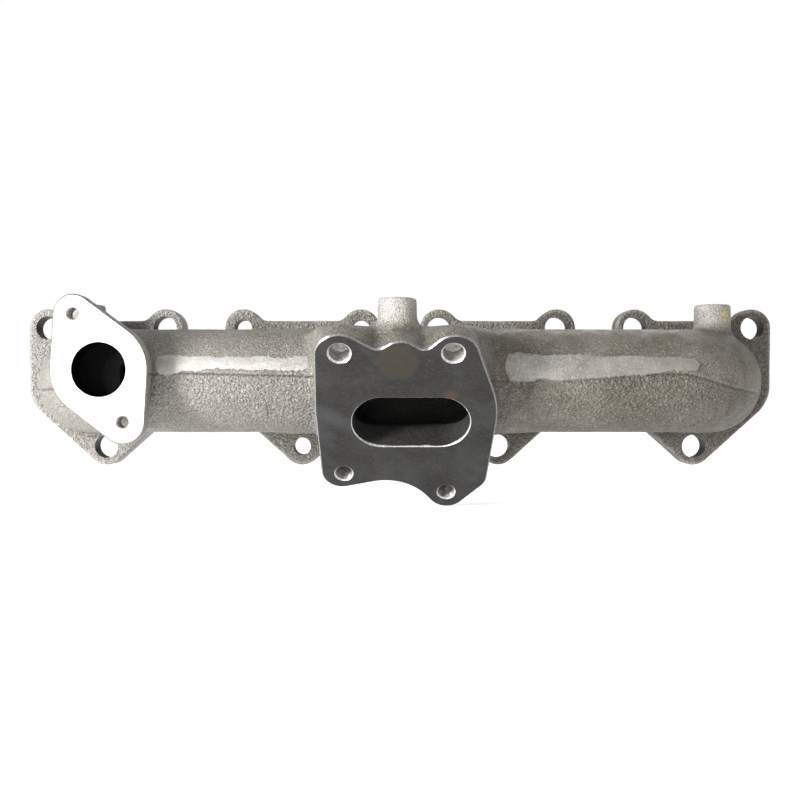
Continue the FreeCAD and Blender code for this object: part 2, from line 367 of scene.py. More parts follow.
def upright_boss(x0, y0, top_z):
    """Round boss that tapers upwards."""
    def shape(x, y, z):
        rise = np.clip((z - LOG_Z) / (top_z - LOG_Z), 0, 1)
        across = np.hypot(x - x0, y - y0) - BOSS_FOOT_R - (BOSS_TOP_R - BOSS_FOOT_R) * rise
        return capped(across, np.abs(z - (top_z + LOG_Z) / 2) - (top_z - LOG_Z) / 2, CAST_EDGE)
    return shape


def wall_plate(outline, x0, z0, y_low, y_high):
    """Plate of an outline that faces along Y."""
    def shape(x, y, z):
        along = np.abs(y - (y_low + y_high) / 2) - (y_high - y_low) / 2
        return capped(outline(x - x0, z - z0), along, CAST_EDGE)
    return shape


def turbo_axes(y, z):
    """Height on the turbine face and depth behind it."""
    dy, dz = y - TURBO_ORIGIN.y, z - TURBO_ORIGIN.z
    height = dy * TURBO_UP.y + dz * TURBO_UP.z
    depth = -(dy * TURBO_OUT.y + dz * TURBO_OUT.z)
    return height, depth


def turbo_plate(outline):
    """Plate that carries the turbine housing, with stock left on its face."""
    def shape(x, y, z):
        height, depth = turbo_axes(y, z)
        along = np.abs(depth - (TURBO_THICK - STOCK) / 2) - (TURBO_THICK + STOCK) / 2
        return capped(outline(x, height), along, CAST_EDGE)
    return shape


NECK_TOP_RISE = 31.5 * MM    # the neck's top runs level into the top of the gallery
NECK_FOOT = 52 * MM    # lowest line of the neck on the back of the flange
NECK_ROUND = 7 * MM


def turbo_neck(outline):
    """Neck that flares from the turbine flange into the gallery."""
    foot_slope = math.radians(65)

    def shape(x, y, z):
        height, depth = turbo_axes(y, z)
        scale = 1 + NECK_FLARE * np.clip((depth - TURBO_THICK) / (NECK_DEPTH - TURBO_THICK), 0, 1)
        across = outline(x / scale, height / scale) * scale
        across = smooth_max(across, z - LOG_Z - NECK_TOP_RISE, NECK_ROUND)
        foot = TURBO_ORIGIN - TURBO_UP * NECK_FOOT - TURBO_OUT * TURBO_THICK
        below = (y - foot.y) * math.sin(foot_slope) - (z - foot.z) * math.cos(foot_slope)
        across = smooth_max(across, below, NECK_ROUND)
        return np.maximum(across, np.abs(depth - NECK_DEPTH / 2) - NECK_DEPTH / 2)
    return shape


EGR_POCKET_DEPTH = 15 * MM
EGR_SLOT_START = (-166 * MM, -91.5 * MM)
EGR_SLOT_LENGTH = 25 * MM
EGR_SLOT_HALF_W = 4 * MM
EGR_SLOT_HALF_H = 9 * MM


def egr_slot(x, y, z):
    """Slot that slants from the recirculation pocket into the gallery."""
    dx, dy = x - EGR_SLOT_START[0], y - EGR_SLOT_START[1]
    along = (dx + dy) * math.sqrt(0.5)
    across = (dx - dy) * math.sqrt(0.5)
    sides = np.maximum(np.abs(across) - EGR_SLOT_HALF_W, np.abs(z - LOG_Z) - EGR_SLOT_HALF_H)
    return np.maximum(sides, np.abs(along - EGR_SLOT_LENGTH / 2) - EGR_SLOT_LENGTH / 2)


def outlet_duct(x, y, z):
    """Oblong hollow from the turbine face up into the gallery."""
    height, depth = turbo_axes(y, z)
    past_end = np.maximum(np.abs(x - OUTLET_X) - (OUTLET_HALF_W - OUTLET_HALF_H), 0)
    across = np.hypot(past_end, height) - OUTLET_HALF_H
    return np.maximum(across, np.abs(depth - NECK_DEPTH / 2) - NECK_DEPTH / 2 - 2 * STOCK)


def hollow_field(low, high):
    """Every gas passage of the casting."""
    field = Field(low, high, CELL)
    blend = 5 * MM
    field.add(gallery_bore, low, high)
    for side in (-1, 1):
        reach = sorted((side * (BEND_X - LOG_R / 2), side * (ELBOW_X + LOG_R)))
        corners = (reach[0], BEND_Y, LOG_Z - LOG_R), (reach[1], STOCK, LOG_Z + LOG_R)
        field.add(end_port_bore(side), *corners)
    for n in (2, 3):
        bore = level_rod(PORT_X[n], LOG_Z, PORT_BORE_R, LOG_Y, 2 * STOCK)
        field.add(bore, *bar_corners(PORT_X[n], LOG_Z, PORT_BORE_R, LOG_Y, 2 * STOCK), blend)
    x, z = EGR_CENTRE.x, EGR_CENTRE.z
    bottom = EGR_FACE_Y + EGR_POCKET_DEPTH
    pocket = level_rod(x, z, EGR_BORE_R, EGR_FACE_Y - 2 * STOCK, bottom)
    field.add(pocket, *bar_corners(x, z, EGR_BORE_R, low[1], bottom))
    reach = EGR_SLOT_LENGTH
    slot_x, slot_y = EGR_SLOT_START
    slot_low = slot_x - reach, slot_y - reach, LOG_Z - EGR_SLOT_HALF_H
    slot_high = slot_x + reach, slot_y + reach, LOG_Z + EGR_SLOT_HALF_H
    field.add(egr_slot, slot_low, slot_high)
    field.add(outlet_duct, (-0.04, low[1], low[2]), (0.06, LOG_Y + 0.02, LOG_Z + LOG_R), blend)
    return field


def casting_field():
    """The whole as-cast body with stock on its machined faces, and its passages."""
    low = np.array(CAD_BOX[0]) - 6 * MM
    high = np.array(CAD_BOX[1]) + 6 * MM
    field = Field(low, high, CELL)
    field.add(gallery_tube, low, high)
    for n in (2, 3):
        runner = level_rod(PORT_X[n], LOG_Z, RUNNER_R, LOG_Y, -FLANGE_THICK / 2)
        field.add(runner, *bar_corners(PORT_X[n], LOG_Z, RUNNER_R, LOG_Y, 0), 8 * MM)
    head_outline = OutlineDistance(outline_points(HEAD_OUTLINE_MM))
    for n in PORTS:
        x = PORT_X[n]
        plate = wall_plate(head_outline, x, 0.0, -FLANGE_THICK, STOCK)
        field.add(plate, (x - 0.055, -FLANGE_THICK, low[2]), (x + 0.055, STOCK, high[2]), 6 * MM)
    turbo_outline = OutlineDistance(outline_points(TURBO_OUTLINE_MM))
    corners = (-0.066, low[1], low[2]), (0.074, LOG_Y + LOG_R, LOG_Z + LOG_R + 6 * MM)
    field.add(turbo_neck(turbo_outline), *corners, 6 * MM)
    field.add(turbo_plate(turbo_outline), *corners, 1.5 * MM)
    x, z = EGR_CENTRE.x, EGR_CENTRE.z
    neck = level_rod(x, z, EGR_NECK_R, EGR_FACE_Y + EGR_THICK / 2, LOG_Y)
    field.add(neck, *bar_corners(x, z, EGR_NECK_R, EGR_FACE_Y, LOG_Y), 7 * MM)
    egr_outline = OutlineDistance(outline_points(EGR_OUTLINE_MM))
    plate = wall_plate(egr_outline, x, z, EGR_FACE_Y - STOCK, EGR_FACE_Y + EGR_THICK)
    field.add(plate, (x - 0.03, low[1], z - 0.045), (x + 0.03, EGR_FACE_Y + EGR_THICK, z + 0.046), 3 * MM)
    for bx, by, bz in boss_tops():
        corners = (bx - BOSS_FOOT_R, by - BOSS_FOOT_R, LOG_Z), (bx + BOSS_FOOT_R, by + BOSS_FOOT_R, bz)
        field.add(upright_boss(bx, by, bz), *corners, 6 * MM)
    passages = hollow_field(low, high)
    field.carve(passages)
    return field, passages


def boss_tops():
    """Centres of the tops of the left, centre and right bosses."""
    ends = [(side * ELBOW_X, BOSS_TOP.y, BOSS_TOP.z) for side in (-1, 1)]
    return [ends[0], tuple(CENTRE_BOSS), ends[1]]


# ---------------- mesh work

def new_object(name, mesh, materials=()):
    """Object for a mesh, linked into the scene, with its material slots."""
    thing = bpy.data.objects.new(name, mesh)
    bpy.context.scene.collection.objects.link(thing)
    for material in materials:
        mesh.materials.append(material)
    return thing


def bake_modifiers(thing):
    """Replace an object's mesh by the result of its modifiers."""
    evaluated = thing.evaluated_get(bpy.context.evaluated_depsgraph_get())
    mesh = bpy.data.meshes.new_from_object(evaluated)
    thing.modifiers.clear()
    spent = thing.data
    thing.data = mesh
    bpy.data.meshes.remove(spent)


def combine(thing, tool, operation):
    """Boolean of an object with a closed tool, which keeps its own materials."""
    step = thing.modifiers.new("cut", "BOOLEAN")
    step.operation = operation
    step.object = tool
    step.solver = "MANIFOLD"
    step.material_mode = "TRANSFER"
    bake_modifiers(thing)


def discard(thing):
    """Remove a tool and its mesh."""
    mesh = thing.data
    bpy.data.objects.remove(thing)
    bpy.data.meshes.remove(mesh)


def new_tool(vertices, faces, materials, indices):
    """Closed object to cut with; the indices give each face its material."""
    mesh = bpy.data.meshes.new("tool")
    mesh.from_pydata(vertices, [], faces)
    tool = new_object("tool", mesh, materials)
    mesh.polygons.foreach_set("material_index", indices)
    return tool


def block(low, high, material, place=Matrix.Identity(4)):
    """Box tool between two corners."""
    corners = [(x, y, z) for x in (low[0], high[0]) for y in (low[1], high[1]) for z in (low[2], high[2])]
    faces = [(0, 1, 3, 2), (4, 6, 7, 5), (0, 4, 5, 1), (2, 3, 7, 6), (0, 2, 6, 4), (1, 5, 7, 3)]
    return new_tool([place @ Vector(corner) for corner in corners], faces, [material], [0] * 6)


def machine_faces(skin, mats):
    """Mill the stock off the head faces, the turbine face and the recirculation face."""
    low, high = CAD_BOX
    left, right = EGR_SPAN
    reach = TURBO_REACH
    past = 20 * MM
    stocks = [
        block((low[0] - past, 0, low[2] - past), (high[0] + past, past, high[2] + past), mats["milled"]),
        block((-reach, -reach, 0), (reach, reach, past), mats["turbine"], turbo_place()),
        block((left, EGR_FACE_Y - past, low[2]), (right, EGR_FACE_Y, high[2] + past), mats["bright"]),
    ]
    for stock in stocks:
        combine(skin, stock, "DIFFERENCE")
        discard(stock)


def turbo_place():
    """Frame of the turbine face: x along the row, y up the face, z out of it."""
    axes = Matrix((Vector((1, 0, 0)), TURBO_UP, TURBO_OUT)).transposed().to_4x4()
    return Matrix.Translation(TURBO_ORIGIN) @ axes


def facing(point, outward):
    """Frame at a point with z along a direction."""
    return Matrix.Translation(point) @ outward.to_track_quat("Z", "Y").to_matrix().to_4x4()


HOLE_SIDES = 56
THREAD_ROWS = 8    # rows of vertices to one turn of a thread


def lathe_tool(profile, places, materials, pitch=0.0, thread=0.0):
    """Drill-shaped tool, repeated at several frames.

    The profile lists (radius, height, material index of the band below it), from the top
    down. With a pitch, the walls of the deepest band carry a helical thread.
    """
    vertices, faces, indices = [], [], []
    turns = np.linspace(0, 2 * math.pi, HOLE_SIDES, endpoint=False)
    rows = threaded_rows(profile, pitch, thread) if pitch else [(r, h, m, 0.0) for r, h, m in profile]
    for place in places:
        base = len(vertices)
        for radius, height, _, depth in rows:
            for turn in turns:
                ride = radius
                if depth:
                    phase = (height / pitch + turn / (2 * math.pi)) % 1.0
                    ride += depth * (1 - abs(2 * phase - 1) * 2)
                vertices.append(place @ Vector((ride * math.cos(turn), ride * math.sin(turn), height)))
        for row, (_, _, material, _) in enumerate(rows[:-1]):
            faces += wall_faces(base, HOLE_SIDES, row)
            indices += [material] * HOLE_SIDES
        last = base + (len(rows) - 1) * HOLE_SIDES
        faces.append(tuple(range(base, base + HOLE_SIDES)))
        faces.append(tuple(reversed(range(last, last + HOLE_SIDES))))
        indices += [0, rows[-1][2]]
    return new_tool(vertices, faces, materials, indices)


def threaded_rows(profile, pitch, thread):
    """Rows of a lathe profile, with close rows down its longest band for the thread."""
    spans = [profile[i][1] - profile[i + 1][1] for i in range(len(profile) - 1)]
    longest = spans.index(max(spans))
    rows = []
    for i, (radius, height, material) in enumerate(profile):
        rows.append((radius, height, material, 0.0))
        if i == longest:
            steps = int(spans[i] / pitch * THREAD_ROWS)
            for step in range(1, steps):
                rows.append((radius, height - spans[i] * step / steps, material, thread))
    return rows


def wall_faces(base, count, row):
    """Quads between one ring of vertices and the next one down."""
    a, b = base + row * count, base + (row + 1) * count
    return [(a + i, b + i, b + (i + 1) % count, a + (i + 1) % count) for i in range(count)]


def ring_tool(rings, material):
    """Closed tool through rings of equally many points, listed from the top down."""
    count = len(rings[0])
    last = (len(rings) - 1) * count
    faces = [tuple(range(count)), tuple(range(last, last + count))[::-1]]
    for row in range(len(rings) - 1):
        faces += wall_faces(0, count, row)
    points = [point for ring in rings for point in ring]
    return new_tool(points, faces, [material], [0] * len(faces))


def oblong_tool(material, bevel):
    """Tool that breaks the edge of the oblong outlet at the turbine face."""
    ends = [(OUTLET_X + side * (OUTLET_HALF_W - OUTLET_HALF_H), side) for side in (1, -1)]
    place = turbo_place()
    rings = []
    for grow, height in ((bevel * 2, bevel), (bevel, 0.0), (0.0, -bevel), (0.0, -2 * bevel)):
        ring = []
        for centre, side in ends:
            start = -math.pi / 2 if side > 0 else math.pi / 2
            for turn in np.linspace(start, start + math.pi, 33):
                radius = OUTLET_HALF_H + grow
                point = Vector((centre + radius * math.cos(turn), radius * math.sin(turn), height))
                ring.append(place @ point)
        rings.append(ring)
    return ring_tool(rings, material)


def rim_tool(circles_mm, place, bevel, reach, material):
    """Tool whose tapered wall breaks the rim of a machined face, wide everywhere behind it."""
    rings = []
    for grow, height in ((-reach, reach - bevel), (reach, -reach - bevel), (reach, -4 * reach)):
        ring = [(x, y, radius + grow / MM) for x, y, radius in circles_mm]
        rings.append([place @ Vector((x, y, height)) for x, y in outline_points(ring, math.radians(3))])
    return ring_tool(rings, material)


def rim_bevels(node, mats):
    """Tools for the rims of the two machined flanges."""
    if node == "turbo_flange":
        return [rim_tool(TURBO_OUTLINE_MM, turbo_place(), 0.45 * MM, 4 * MM, mats["rim"])]
    if node == "egr_flange":
        centre = Matrix.Translation((EGR_CENTRE.x, EGR_FACE_Y, EGR_CENTRE.z))
        place = centre @ Matrix.Rotation(math.pi / 2, 4, "X")
        return [rim_tool(EGR_OUTLINE_MM, place, 0.9 * MM, 3.5 * MM, mats["rim"])]
    return []


def read(items, key, kind=np.int32, width=1):
    """One property of every item of a mesh, as an array."""
    values = np.empty(len(items) * width, kind)
    items.foreach_get(key, values)
    return values


SHARP_ANGLE = math.radians(48)


def mark_sharp(mesh):
    """Smooth shading, broken at steep edges and where the material changes."""
    mesh.shade_smooth()
    mesh.set_sharp_from_angle(angle=SHARP_ANGLE)
    edge_of_loop = read(mesh.loops, "edge_index")
    sides = read(mesh.polygons, "loop_total")
    material_of_loop = np.repeat(read(mesh.polygons, "material_index"), sides)
    low = np.full(len(mesh.edges), 1000, np.int32)
    high = np.full(len(mesh.edges), -1, np.int32)
    np.minimum.at(low, edge_of_loop, material_of_loop)
    np.maximum.at(high, edge_of_loop, material_of_loop)
    sharp = read(mesh.edges, "use_edge_sharp", bool)
    mesh.edges.foreach_set("use_edge_sharp", sharp | (low != high))


def roughen(thing):
    """Waviness of a sand-cast surface, in metal rather than in shading."""
    for name, size, height in (("swell", 14 * MM, 0.5 * MM), ("grain", 2.6 * MM, 0.16 * MM)):
        noise = bpy.data.textures.new(name, "CLOUDS")
        noise.noise_scale = size
        noise.noise_depth = 2
        step = thing.modifiers.new(name, "DISPLACE")
        step.texture = noise
        step.texture_coords = "LOCAL"
        step.strength = height
        step.mid_level = 0.5
    bake_modifiers(thing)


def dress(piece, field, crowding, passages):
    """Store at each vertex how crowded the metal is, and how far off passage and parting are."""
    mesh = piece.data
    points = read(mesh.vertices, "co", np.float32, 3).reshape(-1, 3)
    height = parting_height(points[:, 0], points[:, 2])
    values = {
        "crowding": field.sample(crowding, points),
        "passage_mm": field.sample(passages.values, points) / MM,
        "parting_mm": (height - SEAM_FALL * np.maximum(points[:, 1] - LOG_Y, 0)) / MM,
    }
    for name, numbers in values.items():
        layer = mesh.attributes.new(name, "FLOAT", "POINT")
        layer.data.foreach_set("value", numbers.astype(np.float32))


# ---------------- materials

class Shader:
    """Short way to build a procedural material on object coordinates in millimetres."""

    def __init__(self, name, **fixed):
        self.material = bpy.data.materials.new(name)
        self.material.use_nodes = True
        self.tree = self.material.node_tree
        self.surface = self.tree.nodes["Principled BSDF"]
        for socket, value in fixed.items():
            self.surface.inputs[socket.replace("_", " ")].default_value = value
        self.place = self.mapped(self.node("TexCoord").outputs["Object"], (1 / MM,) * 3)

    def link(self, value, socket):
        """Wire a socket, or set it to a plain value."""
        if isinstance(value, bpy.types.NodeSocket):
            self.tree.links.new(value, socket)
        else:
            socket.default_value = value

    def node(self, kind, **inputs):
        """New node, with its inputs wired or set."""
        node = self.tree.nodes.new("ShaderNode" + kind)
        for name, value in inputs.items():
            self.link(value, node.inputs[name.replace("_", " ")])
        return node

    def mapped(self, vector, scale=(1, 1, 1), turn=(0, 0, 0), move=(0, 0, 0)):
        node = self.node("Mapping", Scale=scale, Rotation=turn, Location=move, Vector=vector)
        return node.outputs["Vector"]

    def noise(self, size_mm, detail=3.0, rough=0.55, vector=None):
        """Noise whose features are about this many millimetres across."""
        place = vector or self.place
        node = self.node("TexNoise", Scale=1 / size_mm, Detail=detail, Roughness=rough, Vector=place)
        return node.outputs["Fac"]

    def cells(self, size_mm):
        """Distance to the nearest of scattered points."""
        return self.node("TexVoronoi", Scale=1 / size_mm, Vector=self.place).outputs["Distance"]

    def math(self, operation, a, b):
        node = self.node("Math")
        node.operation = operation
        self.link(a, node.inputs[0])
        self.link(b, node.inputs[1])
        return node.outputs[0]

    def times(self, a, b):
        return self.math("MULTIPLY", a, b)

    def span(self, value, low, high, to_low=0.0, to_high=1.0):
        """Map a range onto another, smoothly and clamped."""
        ends = {"From Min": low, "From Max": high, "To Min": to_low, "To Max": to_high}
        node = self.node("MapRange", Value=value, **ends)
        node.interpolation_type = "SMOOTHSTEP"
        return node.outputs["Result"]

    def mix(self, share, a, b):
        """Blend two colours."""
        node = self.node("Mix", Factor=share)
        node.data_type = "RGBA"
        self.link(rgba(a), node.inputs[6])
        self.link(rgba(b), node.inputs[7])
        return node.outputs[2]

    def tint(self, colour, value, low, high, share, shade):
        """Blend up to this share of a shade into a colour as a value crosses a range."""
        return self.mix(self.span(value, low, high, 0.0, share), colour, shade)

    def axis(self, letter):
        """One coordinate, in millimetres."""
        return self.node("SeparateXYZ", Vector=self.place).outputs[letter]

    def attribute(self, name):
        node = self.node("Attribute")
        node.attribute_name = name
        return node.outputs["Fac"]

    def near(self, centre, radius_mm, fade_mm):
        """One inside a ball round a point, nothing outside it."""
        node = self.node("VectorMath")
        node.operation = "DISTANCE"
        self.link(self.place, node.inputs[0])
        node.inputs[1].default_value = Vector(centre) / MM
        return self.span(node.outputs["Value"], radius_mm - fade_mm, radius_mm + fade_mm, 1.0, 0.0)

    def bump(self, height, depth_mm, strength=1.0, under=None):
        """Relief of this depth, in millimetres, over an earlier one."""
        node = self.node("Bump", Distance=depth_mm * MM, Strength=strength, Height=height)
        if under:
            self.link(under, node.inputs["Normal"])
        return node.outputs["Normal"]

    def finish(self, colour, roughness, normal=None):
        self.link(colour, self.surface.inputs["Base Color"])
        self.link(roughness, self.surface.inputs["Roughness"])
        if normal:
            self.link(normal, self.surface.inputs["Normal"])
        return self.material


def dimmed(colour, share):
    """A colour scaled down to this share."""
    return tuple(c * share for c in colour)


def rgba(colour):
    """A colour as a socket or with its alpha."""
    return (*colour, 1.0) if isinstance(colour, tuple) and len(colour) == 3 else colour


def cast_iron():
    """Sand-cast iron: warm grey, blotched, grainy, rougher below the parting line.

    It is lighter towards the take-off end and on two bosses, and darker low at the other end: painted light
    and shade. Its grit glints are painted highlights, and the dark line under the parting step, the hollows
    and the passages are painted shade.
    """
    s = Shader("cast_iron", Metallic=0.25, Specular_IOR_Level=0.45)
    blotch = s.noise(48, 4, 0.6)
    patch = s.noise(11, 5, 0.65)
    grit = s.noise(1.1, 3, 0.7)
    speck = s.noise(0.5, 2, 0.6)
    parting = s.attribute("parting_mm")
    lower = s.span(parting, 1.0, -1.5)
    colour = s.mix(s.span(blotch, 0.35, 0.68), (0.135, 0.119, 0.091), (0.225, 0.207, 0.174))
    colour = s.tint(colour, patch, 0.44, 0.70, 0.60, (0.090, 0.078, 0.060))
    side = s.axis("X")
    # painted light: the lower half pales towards the take-off end and darkens towards the other end
    colour = s.mix(s.times(lower, s.span(side, 40, -80, 0.0, 0.22)), colour, (0.255, 0.243, 0.226))
    colour = s.mix(s.times(lower, s.span(side, 20, 170, 0.0, 0.50)), colour, (0.070, 0.060, 0.046))
    # painted light: the whole skin pales towards the take-off end
    take_off_end_painted_light = s.span(side, 60, -170, 0.0, 0.50)
    colour = s.mix(take_off_end_painted_light, colour, (0.340, 0.328, 0.305))
    # painted light: the centre boss and the right boss are paled as if brightly lit
    for centre, share in ((CENTRE_BOSS, 0.95), (BOSS_TOP, 0.60)):
        boss_painted_light = s.near(centre - Vector((0, 0, 3)) * MM, 17, 5)
        colour = s.mix(s.times(boss_painted_light, share), colour, (0.490, 0.468, 0.430))
    glint = s.times(s.span(grit, 0.50, 0.66), s.span(side, -60, 90, 0.80, 0.42))
    colour = s.mix(glint, colour, (0.50, 0.480, 0.432))
    colour = s.tint(colour, speck, 0.49, 0.61, 0.80, (0.036, 0.030, 0.023))
    # painted shade: a dark line on the front of the gallery just below the parting step
    shade_under_seam = s.times(s.span(parting, -2.6, -1.0), s.span(parting, -0.1, -0.8))
    shade_under_seam = s.times(shade_under_seam, s.span(s.axis("Y"), LOG_Y / MM + 3, LOG_Y / MM))
    colour = s.mix(s.times(shade_under_seam, 0.65), colour, (0.040, 0.033, 0.025))
    crowding = s.attribute("crowding")
    # painted shade: darker where the metal crowds round a hollow; paler on outside edges
    colour = s.tint(colour, crowding, 0.55, 0.76, 0.75, (0.050, 0.041, 0.031))
    colour = s.tint(colour, crowding, 0.40, 0.24, 0.55, (0.42, 0.405, 0.375))
    for place, radius in paint_marks():
        dab = s.times(s.near(place, radius, 1.0), s.span(s.noise(1.6, 4, 0.7), 0.47, 0.58))
        colour = s.mix(dab, colour, (0.50, 0.48, 0.05))
    # painted shade: the passages are darkened inside, and the recirculation bore is made black with its
    # reflection turned down
    inside = s.span(s.attribute("passage_mm"), 1.9, 1.0)
    colour = s.mix(s.times(inside, 0.90), colour, (0.024, 0.024, 0.024))
    egr_bore_painted_shade = s.times(inside, s.near(EGR_CENTRE + Vector((0, 8, 0)) * MM, 30, 3))
    colour = s.mix(egr_bore_painted_shade, colour, (0.004, 0.004, 0.004))
    s.link(s.span(egr_bore_painted_shade, 0.0, 1.0, 0.45, 0.03), s.surface.inputs["Specular IOR Level"])
    roughness = s.span(s.math("ADD", grit, s.noise(7, 3, 0.6)), 0.75, 1.30, 0.42, 0.72)
    outside = s.span(inside, 0.0, 1.0, 1.0, 0.25)
    pebble = s.times(s.span(s.cells(1.9), 0.05, 0.75, 1.0, 0.0), s.math("ADD", lower, 0.30))
    normal = s.bump(s.times(pebble, outside), 0.48)
    normal = s.bump(s.times(grit, outside), 0.62, 1.0, normal)
    normal = s.bump(speck, 0.22, 1.0, normal)
    pits = s.span(s.cells(5.2), 0.02, 0.16, 0.0, 1.0)
    normal = s.bump(pits, 0.25, 0.7, normal)
    return s.finish(colour, roughness, normal)


def paint_marks():
    """Small dabs of inspection paint on the bosses: centre and radius in millimetres."""
    right = Vector((ELBOW_X + 6.5 * MM, BOSS_TOP.y - BOSS_TOP_R, BOSS_TOP.z - 8 * MM))
    centre = CENTRE_BOSS + Vector((6, -11, -13)) * MM
    return [(right, 4.2), (centre, 1.5)]


def turbine_face():
    """Machined face with slanting tool marks and a round heat tint, coloured very dark: dull grey metal,
    darkened further as a painted reflection of dark surroundings.
    """
    s = Shader("turbine_face", Metallic=0.45, Specular_IOR_Level=0.35)
    slanted = s.mapped(s.place, (1, 1, 1), (0, math.radians(-40), 0))
    streaks = s.noise(1.0, 5, 0.65, s.mapped(slanted, (0.05, 0.9, 0.9)))
    sweep = s.noise(1.0, 3, 0.5, s.mapped(slanted, (0.012, 0.05, 0.05)))
    cloud = s.noise(26, 4, 0.6)
    # painted reflection: the base is kept very dark to show the dark surroundings the face reflects
    colour = s.mix(s.span(cloud, 0.35, 0.7), (0.024, 0.023, 0.022), (0.040, 0.039, 0.038))
    colour = s.tint(colour, sweep, 0.52, 0.74, 0.60, (0.064, 0.065, 0.066))
    colour = s.tint(colour, streaks, 0.45, 0.75, 0.38, (0.080, 0.078, 0.076))
    scratch = s.noise(1.0, 2, 0.5, s.mapped(slanted, (0.03, 3.0, 3.0)))
    colour = s.tint(colour, scratch, 0.62, 0.74, 0.30, (0.15, 0.148, 0.145))
    tint = TURBO_ORIGIN + TURBO_UP * 42 * MM + Vector((-1.5, 0, 0)) * MM
    ragged = s.span(s.noise(5, 4, 0.7), 0.30, 0.62, 0.35, 1.0)
    colour = s.mix(s.times(s.near(tint, 11.5, 1.6), ragged), colour, (0.046, 0.039, 0.027))
    rust = TURBO_ORIGIN + TURBO_UP * 19 * MM + Vector((29, 0, 0)) * MM
    colour = s.mix(s.times(s.near(rust, 3.5, 2.5), 0.6), colour, (0.100, 0.055, 0.032))
    fine = s.noise(0.5, 3, 0.6)
    colour = s.tint(colour, fine, 0.55, 0.75, 0.3, (0.015, 0.015, 0.015))
    roughness = s.span(streaks, 0.3, 0.75, 0.36, 0.58)
    normal = s.bump(streaks, 0.05, 0.6)
    normal = s.bump(fine, 0.02, 0.5, normal)
    return s.finish(colour, roughness, normal)


def bright_face():
    """Freshly milled face, coloured nearly white: bright metal, made paler still as a painted highlight."""
    s = Shader("bright_face", Metallic=0.15)
    lay = s.noise(1.0, 4, 0.6, s.mapped(s.place, (0.9, 0.9, 0.04), (0, math.radians(25), 0)))
    cloud = s.noise(14, 3, 0.6)
    # painted highlight: the near-white colour stands in for glare on the face
    colour = s.mix(s.span(cloud, 0.35, 0.7), (0.80, 0.80, 0.79), (0.90, 0.90, 0.895))
    colour = s.tint(colour, lay, 0.45, 0.8, 0.25, (0.62, 0.62, 0.61))
    roughness = s.span(lay, 0.3, 0.8, 0.38, 0.52)
    return s.finish(colour, roughness, s.bump(lay, 0.03, 0.5))


def milled_face():
    """Head faces as a face mill leaves them: grey, with broad curved passes."""
    s = Shader("milled_face", Metallic=0.6)
    cutter = s.mapped(s.place, move=(0, 0, 260))
    node = s.node("TexWave", Scale=0.16, Distortion=1.2, Detail=3, Vector=cutter)
    node.wave_type = "RINGS"
    node.rings_direction = "Y"
    rings = node.outputs["Fac"]
    cloud = s.noise(18, 4, 0.6)
    colour = s.mix(s.span(cloud, 0.35, 0.7), (0.22, 0.215, 0.21), (0.34, 0.338, 0.33))
    colour = s.mix(s.times(rings, 0.35), colour, (0.44, 0.44, 0.43))
    fine = s.noise(0.6, 3, 0.6)
    colour = s.tint(colour, fine, 0.5, 0.75, 0.4, (0.10, 0.10, 0.10))
    roughness = s.span(s.math("ADD", rings, fine), 0.5, 1.5, 0.30, 0.48)
    normal = s.bump(rings, 0.03, 0.6)
    return s.finish(colour, roughness, s.bump(fine, 0.02, 0.4, normal))


def drilled_wall(name, brightness):
    """Walls of drilled and tapped holes; the darker copies are painted shade, darkest in the lug holes."""
    s = Shader(name, Metallic=0.4 * brightness, Specular_IOR_Level=0.5 * brightness)
    cloud = s.noise(3, 4, 0.6)
    dark, pale = (0.24, 0.225, 0.21), (0.55, 0.53, 0.50)
    colour = s.mix(s.span(cloud, 0.35, 0.7), dimmed(dark, brightness), dimmed(pale, brightness))
    rings = s.noise(1.0, 3, 0.6, s.mapped(s.place, (0.25, 1.6, 1.6)))
    colour = s.tint(colour, rings, 0.45, 0.75, 0.5, dimmed((0.62, 0.62, 0.61), brightness))
    roughness = s.span(cloud, 0.3, 0.7, 0.30, 0.5)
    return s.finish(colour, roughness, s.bump(rings, 0.05, 0.6))


def broken_edge(name, brightness):
    """Chamfers at machined mouths and rims."""
    s = Shader(name, Metallic=0.5)
    nick = s.noise(1.2, 4, 0.65)
    dark, pale = (0.42, 0.415, 0.40), (0.74, 0.735, 0.72)
    colour = s.mix(s.span(nick, 0.35, 0.7), dimmed(dark, brightness), dimmed(pale, brightness))
    roughness = s.span(nick, 0.3, 0.7, 0.25, 0.42)
    return s.finish(colour, roughness, s.bump(nick, 0.06, 0.6))


